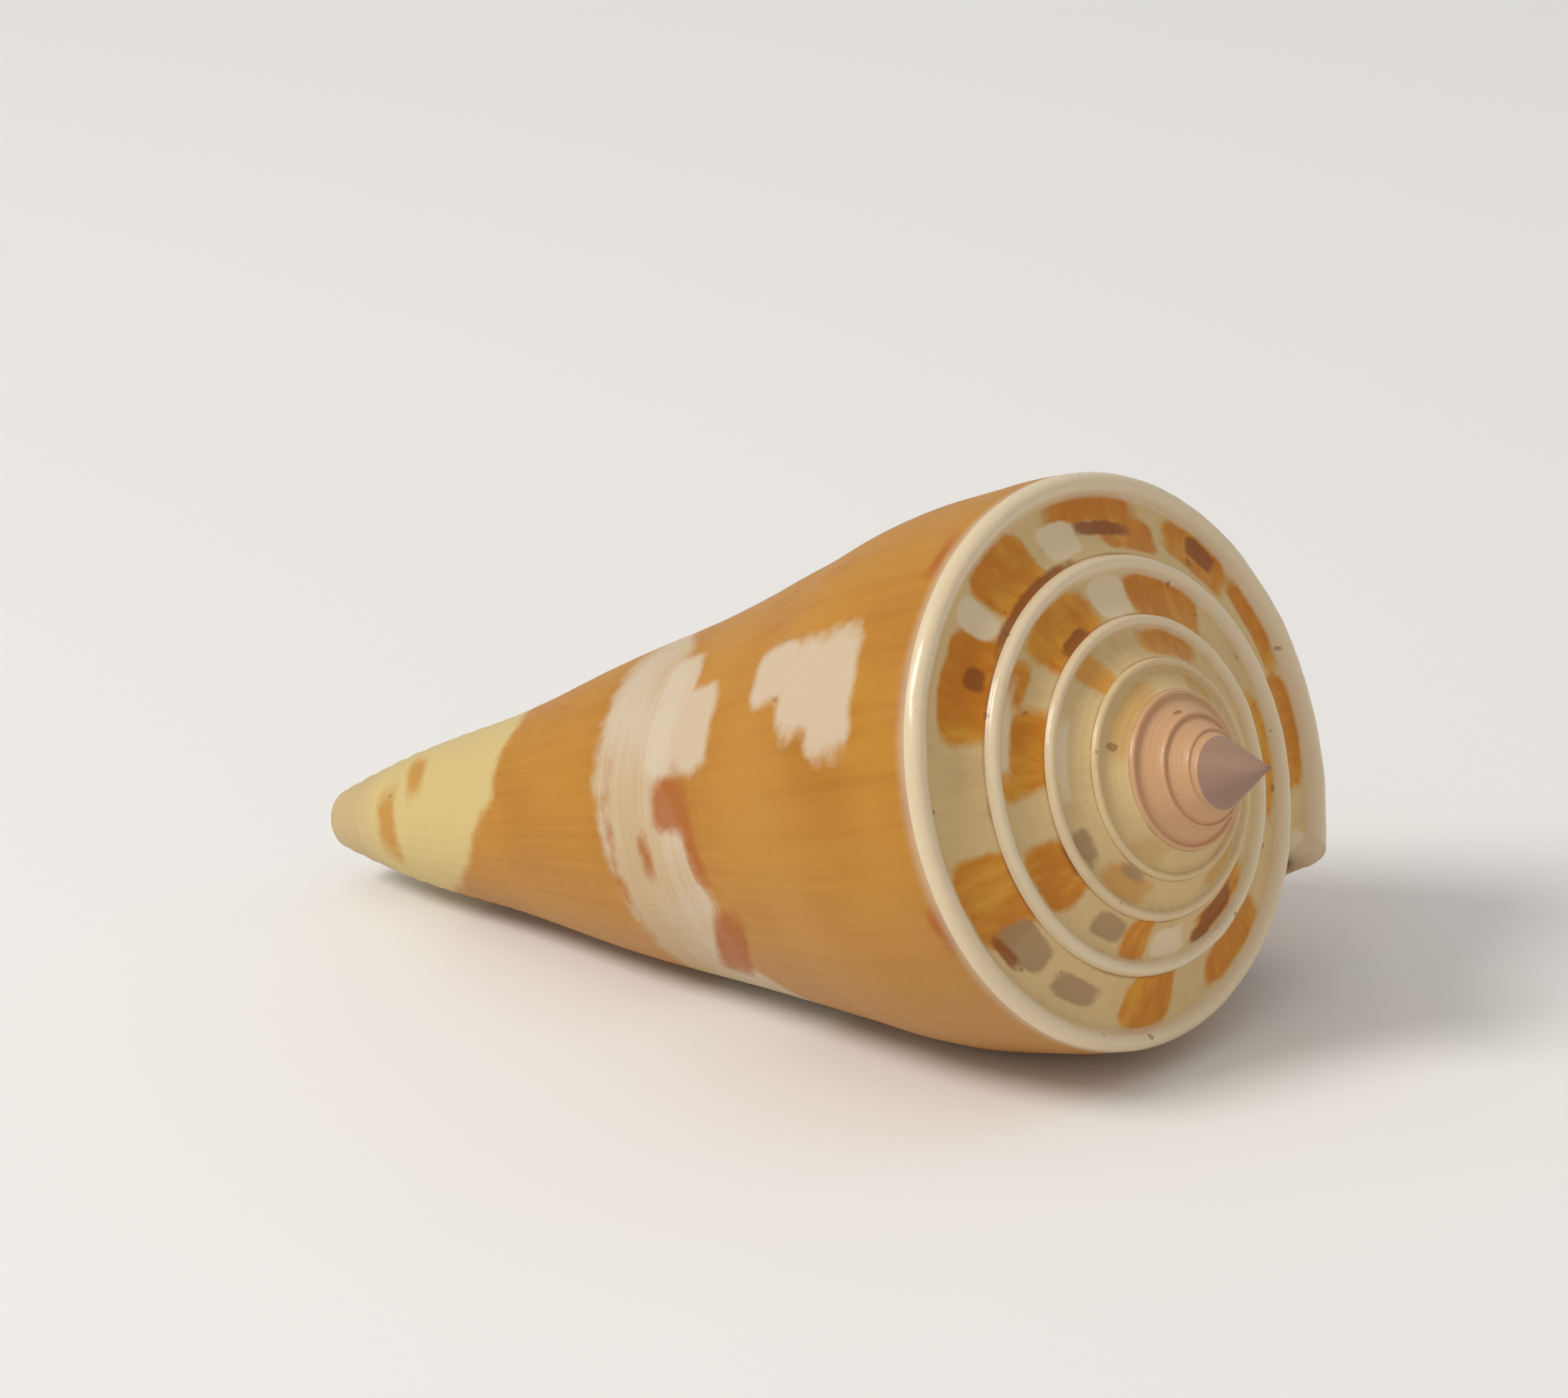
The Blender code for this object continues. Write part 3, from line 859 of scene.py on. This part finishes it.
def makeShell():
    makeGroups()
    shell = growShell({"Spire Material": spireMaterial(), "Body Material": bodyMaterial(),
                       "Lining Material": liningMaterial()})
    faceOutwards(shell.data)
    paintMarks(shell.data)
    layDown(shell.data)
    shell.data.shade_smooth()
    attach(shell, "root")
    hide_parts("shell")
    print("shell grown:", len(shell.data.vertices), "points,",
          sum(len(p.vertices) - 2 for p in shell.data.polygons), "triangles")
    return shell


# camera, floor and light
pictureView = {
    "place": (217.09 * mm, -234.75 * mm, 123.24 * mm),
    "right": (0.74576, 0.66268, -0.06857),
    "up": (-0.16713, 0.28572, 0.94363),
    "lens": 158.66,
}

studio = {
    "floorTone": (0.90, 0.89, 0.87, 1),
    "floorSize": 3.0,
    "roomLight": 0.55,
    "keyPower": 3.0,
}


def makeCamera():
    data = bpy.data.cameras.new("pictureCamera")
    camera = bpy.data.objects.new("pictureCamera", data)
    bpy.context.scene.collection.objects.link(camera)
    right, up = Vector(pictureView["right"]), Vector(pictureView["up"])
    right.normalize()
    back = right.cross(up).normalized()
    up = back.cross(right)
    turn = Matrix((right, up, back)).transposed().to_4x4()
    camera.matrix_world = Matrix.Translation(pictureView["place"]) @ turn
    data.lens = pictureView["lens"]
    data.sensor_fit = "HORIZONTAL"
    data.sensor_width = 36.0
    data.clip_start = 0.01
    bpy.context.scene.camera = camera


def makeFloor():
    mesh = bpy.data.meshes.new("floor")
    half = studio["floorSize"] / 2
    mesh.from_pydata([(-half, -half, 0), (half, -half, 0), (half, half, 0), (-half, half, 0)], [],
                     [(0, 1, 2, 3)])
    floor = bpy.data.objects.new("floor", mesh)
    bpy.context.scene.collection.objects.link(floor)
    paper = bpy.data.materials.new("palePaper")
    paper.use_nodes = True
    shader = paper.node_tree.nodes["Principled BSDF"]
    shader.inputs["Base Color"].default_value = studio["floorTone"]
    shader.inputs["Roughness"].default_value = 0.9
    mesh.materials.append(paper)


def addSoftbox(name, place, size, power, tone):
    data = bpy.data.lights.new(name, "AREA")
    data.shape = "DISK"
    data.size = size
    data.energy = power
    data.color = tone
    lamp = bpy.data.objects.new(name, data)
    bpy.context.scene.collection.objects.link(lamp)
    lamp.location = place
    lamp.rotation_euler = (Vector((0, 0, 0.01)) - lamp.location).to_track_quat("-Z", "Y").to_euler()


def makeStudio():
    makeFloor()
    world = bpy.data.worlds.new("softRoom")
    world.use_nodes = True
    sky = world.node_tree.nodes["Background"]
    sky.inputs["Color"].default_value = (1.0, 0.985, 0.96, 1)
    sky.inputs["Strength"].default_value = studio["roomLight"]
    bpy.context.scene.world = world
    addSoftbox("keySoftbox", (-0.25, -0.45, 0.55), 0.30, studio["keyPower"], (1.0, 0.98, 0.95))
    bpy.context.scene.view_settings.view_transform = "Standard"
    print("studio set")


shell = makeShell()
makeCamera()
makeStudio()
